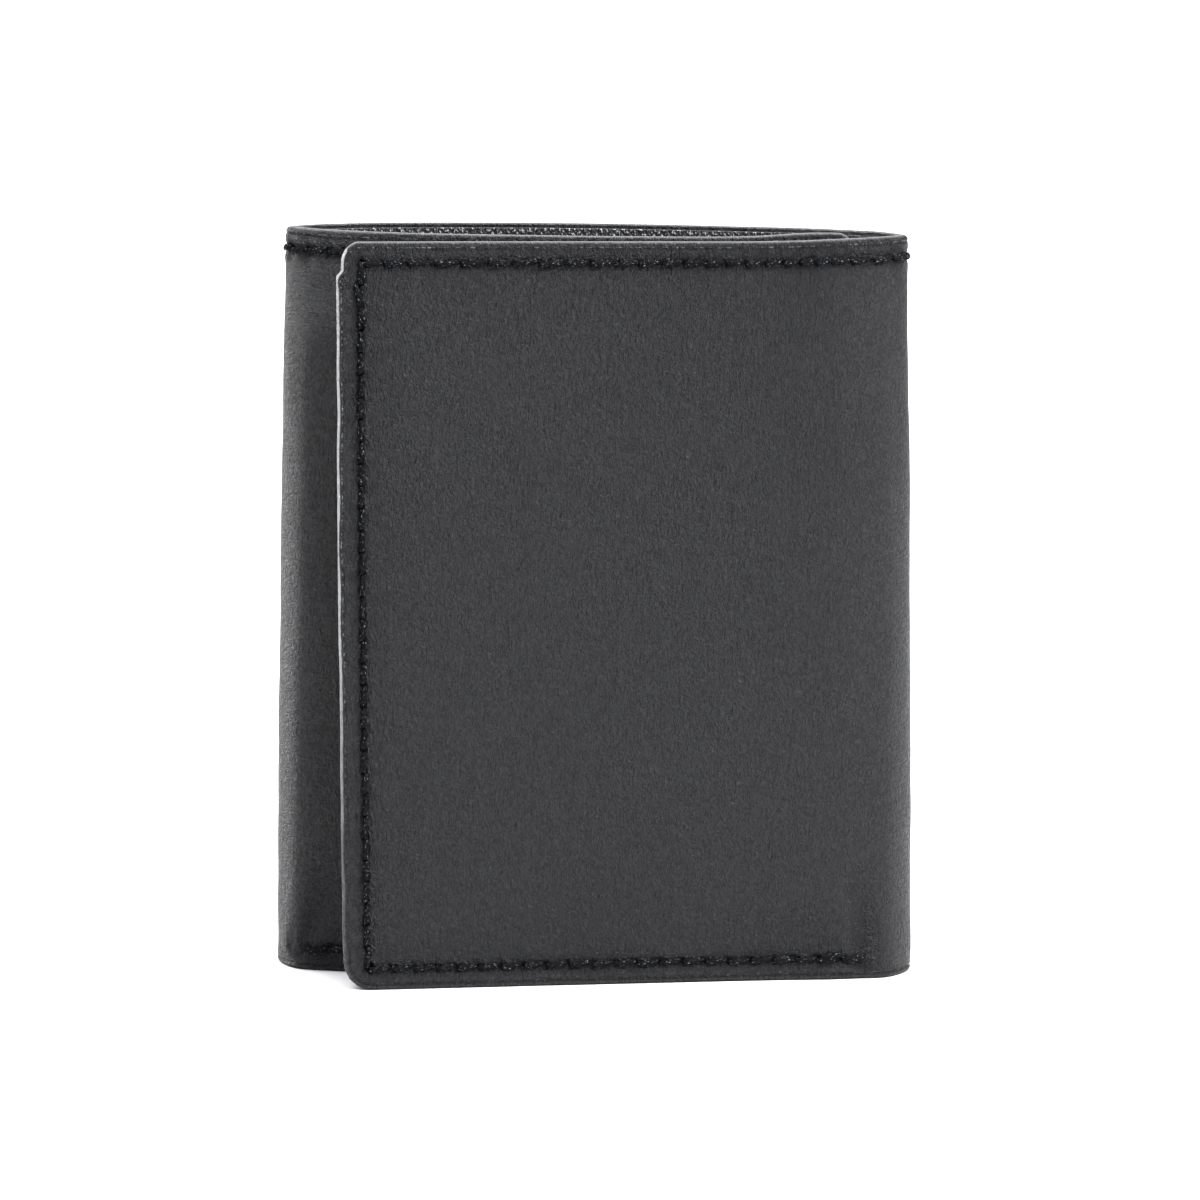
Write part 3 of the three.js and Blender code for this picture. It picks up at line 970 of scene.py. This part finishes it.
def make_window_frame(middle, half, low, high, border, depth):
    """A leather frame as one ring: a rounded outer and inner edge, joined by its two faces."""
    def ring(half_s, z_low, z_high, radius, count=10):
        points = []
        for cs, cz, start in (
            (middle + half_s - radius, z_high - radius, 0.0),
            (middle - half_s + radius, z_high - radius, 0.5),
            (middle - half_s + radius, z_low + radius, 1.0),
            (middle + half_s - radius, z_low + radius, 1.5),
        ):
            for k in range(count):
                angle = math.pi * (start + 0.5 * k / (count - 1))
                points.append((cs + radius * math.cos(angle), cz + radius * math.sin(angle)))
        dense = []
        for a, b in zip(points, points[1:] + points[:1]):
            pieces = 24 if math.dist(a, b) > 5 else 1
            for k in range(pieces):
                t = k / pieces
                dense.append((a[0] + (b[0] - a[0]) * t, a[1] + (b[1] - a[1]) * t))
        return np.array(dense)

    outer = ring(half, low, high, 2.0)
    inner = ring(half - border, low + border, high - border, 1.4)
    thick = 0.6
    # across the frame: (share of the way in, height over its back face)
    section = [(0, 0), (0, 0.4), (0.03, 0.56), (0.08, 0.6), (0.16, 0.6), (0.19, 0.5), (0.22, 0.6),
               (0.55, 0.62), (0.78, 0.6), (0.81, 0.5), (0.84, 0.6), (0.95, 0.58), (0.99, 0.45),
               (1, 0.3), (1, 0)]
    loops = []
    for share, height in section:
        at = outer + (inner - outer) * share
        loops.append((at, depth(at[:, 0], at[:, 1]) + height * thick / 0.6))
    count = len(outer)
    verts = np.concatenate([on_strip(at[:, 0], at[:, 1], d) for at, d in loops])
    uvs = np.concatenate([at for at, _ in loops]) * MM
    faces = []
    for i in range(len(loops)):
        following = (i + 1) % len(loops)
        for j in range(count):
            k = (j + 1) % count
            faces.append([i * count + j, following * count + j, following * count + k,
                          i * count + k])
    piece = make_mesh("window_surround", verts, faces, uvs)
    dress(piece, "inner_leather", INNER_LEATHER)
    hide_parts("window_frame")
    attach(piece, "back_panel")
    left, right = middle - half + 2, middle + half - 2
    runs = [((left, low + 2), (right, low + 2)), ((left, low + 2), (left, high - 2)),
            ((right, low + 2), (right, high - 2))]
    places = []
    for k, run in enumerate(runs):
        for centre, direction, _, options in row_places(run, SEED + 60 + k):
            options["width"] = INNER_THREAD
            level = float(depth(np.array(centre[0]), np.array(centre[1]))) + thick
            places.append((centre, direction, level, options))
    stitches = build_stitches("window_stitches", places, side=-1)
    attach(stitches, "back_panel")


# ---- stage, light and camera -------------------------------------------------------------
def make_stage():
    mesh = bpy.data.meshes.new("floor")
    reach = 3.0
    mesh.from_pydata([(-reach, -reach, 0), (reach, -reach, 0), (reach, reach, 0),
                      (-reach, reach, 0)], [], [(0, 1, 2, 3)])
    floor = bpy.data.objects.new("floor", mesh)
    bpy.context.scene.collection.objects.link(floor)
    n = Nodes("floor")
    floor.data.materials.append(n.set(Base_Color=(0.72, 0.72, 0.71, 1), Roughness=0.9,
                                      Specular_IOR_Level=0.0))
    make_dark_cards()


def make_dark_cards():
    """Black cards in front and to the left, seen only in reflections. They cast no shadow."""
    left, side, near, far = -0.2, -0.09, -0.04, -0.7
    upright = [(left, far, 0), (left, near, 0), (left, near, 0.5), (left, far, 0.5)]
    beside = [(left, far, 0.001), (side, far, 0.001), (side, near, 0.001), (left, near, 0.001)]
    ahead = [(side, -1.2, 0.001), (0.6, -1.2, 0.001), (0.6, -0.15, 0.001), (side, -0.15, 0.001)]
    mesh = bpy.data.meshes.new("dark_cards")
    mesh.from_pydata(upright + beside + ahead, [], [(0, 1, 2, 3), (4, 5, 6, 7), (8, 9, 10, 11)])
    cards = bpy.data.objects.new("dark_cards", mesh)
    bpy.context.scene.collection.objects.link(cards)
    black = Nodes("dark_cards").set(Base_Color=(0, 0, 0, 1), Roughness=1.0, Specular_IOR_Level=0.0)
    cards.data.materials.append(black)
    cards.visible_camera = cards.visible_diffuse = cards.visible_shadow = False


def area_light(name, at, towards, size, power, colour=(1, 1, 1)):
    data = bpy.data.lights.new(name, "AREA")
    data.shape = "RECTANGLE"
    data.size, data.size_y = size
    data.energy = power
    data.color = colour
    lamp = bpy.data.objects.new(name, data)
    lamp.location = at
    lamp.rotation_euler = (Vector(towards) - Vector(at)).to_track_quat("-Z", "Y").to_euler()
    bpy.context.scene.collection.objects.link(lamp)


def make_light():
    """A sky bright overhead and behind and dim in front, a steep key light and a faint left rim."""
    world = bpy.data.worlds.new("studio")
    world.use_nodes = True
    tree = world.node_tree
    background = tree.nodes["Background"]
    direction = tree.nodes.new("ShaderNodeTexCoord")
    split = tree.nodes.new("ShaderNodeSeparateXYZ")
    tree.links.new(direction.outputs["Generated"], split.inputs[0])
    strengths = []
    for axis, low, high, most in (("Y", 0.05, 0.5, 0.8), ("Z", 0.55, 0.85, 5.2)):
        step = tree.nodes.new("ShaderNodeMapRange")
        step.interpolation_type = "SMOOTHSTEP"
        for key, value in (("From Min", low), ("From Max", high), ("To Min", 0.06),
                           ("To Max", most)):
            step.inputs[key].default_value = value
        tree.links.new(split.outputs[axis], step.inputs["Value"])
        strengths.append(step.outputs["Result"])
    brightest = tree.nodes.new("ShaderNodeMath")
    brightest.operation = "MAXIMUM"
    for socket, strength in zip(brightest.inputs, strengths):
        tree.links.new(strength, socket)
    tree.links.new(brightest.outputs[0], background.inputs["Strength"])
    background.inputs["Color"].default_value = (0.965, 0.97, 1.0, 1)
    bpy.context.scene.world = world
    area_light("key", (0.36, -0.3, 0.62), (0, 0, 0.05), (0.12, 0.1), 10.0)
    area_light("left_rim", (-0.7, 0.5, 0.25), (-0.03, 0, 0.05), (0.4, 0.6), 8.0)
    settings = bpy.context.scene.view_settings
    settings.view_transform = "Standard"
    settings.look = "None"


def make_camera():
    """A long lens from slightly above and a few degrees to the right of the front."""
    azimuth, elevation, distance = math.radians(-4), math.radians(12.5), 1.0
    target = Vector((0.0006, 0.001, HEIGHT / 2 * MM + 0.0005))
    forward = Vector((math.sin(azimuth) * math.cos(elevation),
                      math.cos(azimuth) * math.cos(elevation), -math.sin(elevation)))
    data = bpy.data.cameras.new("camera")
    data.sensor_width = 36
    data.lens = 215
    data.clip_start = 0.01
    camera = bpy.data.objects.new("camera", data)
    camera.location = target - forward * distance
    camera.rotation_euler = forward.to_track_quat("-Z", "Y").to_euler()
    bpy.context.scene.collection.objects.link(camera)
    bpy.context.scene.camera = camera


make_camera()
make_stage()
make_light()
make_shell()
make_lining()
make_outer_seams()
make_flap_inside("inner_flap", FREE_INNER, 1)
make_flap_inside("front_flap", FREE_FRONT, -1)
make_centre()
